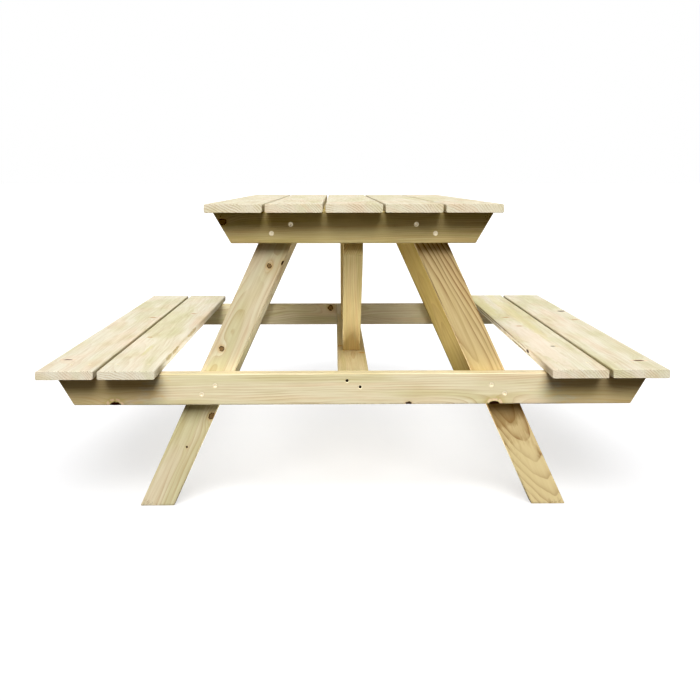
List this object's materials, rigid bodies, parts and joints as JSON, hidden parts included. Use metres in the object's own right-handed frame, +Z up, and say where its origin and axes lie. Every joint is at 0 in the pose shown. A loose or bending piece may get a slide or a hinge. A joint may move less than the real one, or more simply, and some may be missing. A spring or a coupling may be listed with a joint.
{
  "type": "picnic table",
  "caption": "Wooden picnic table with two attached bench seats on splayed, braced end frames.",
  "frame": {"origin": "on the ground under the middle of the table", "axes": "+X across the table towards the right-hand seat, +Y along the boards towards the back end, +Z up"},
  "size_m": [1.5, 1.5, 0.748],
  "materials": {
    "boards": "planed pale softwood",
    "frame_timber": "planed pale softwood",
    "bright_screws": "bright zinc plated",
    "dark_screws": "black phosphate"
  },
  "bodies": {
    "root": {"top_board_1": "boards", "top_board_2": "boards", "top_board_3": "boards", "top_board_4": "boards", "top_board_5": "boards", "left_seat_board_inner": "boards", "left_seat_board_outer": "boards", "right_seat_board_inner": "boards", "right_seat_board_outer": "boards", "top_bearer_front": "frame_timber", "top_bearer_back": "frame_timber", "seat_bearer_front": "frame_timber", "seat_bearer_back": "frame_timber", "leg_front_left": "frame_timber", "leg_front_right": "frame_timber", "leg_back_left": "frame_timber", "leg_back_right": "frame_timber", "stretcher": "frame_timber", "brace_front": "frame_timber", "brace_back": "frame_timber", "middle_batten": "frame_timber", "top_leg_screws": "bright_screws", "seat_leg_screws": "bright_screws", "top_board_screws": "bright_screws", "seat_board_screws": "bright_screws", "batten_screws": "bright_screws", "brace_head_screws": "bright_screws", "brace_foot_screws": "bright_screws", "stretcher_screws": "dark_screws"}
  },
  "joints": []
}
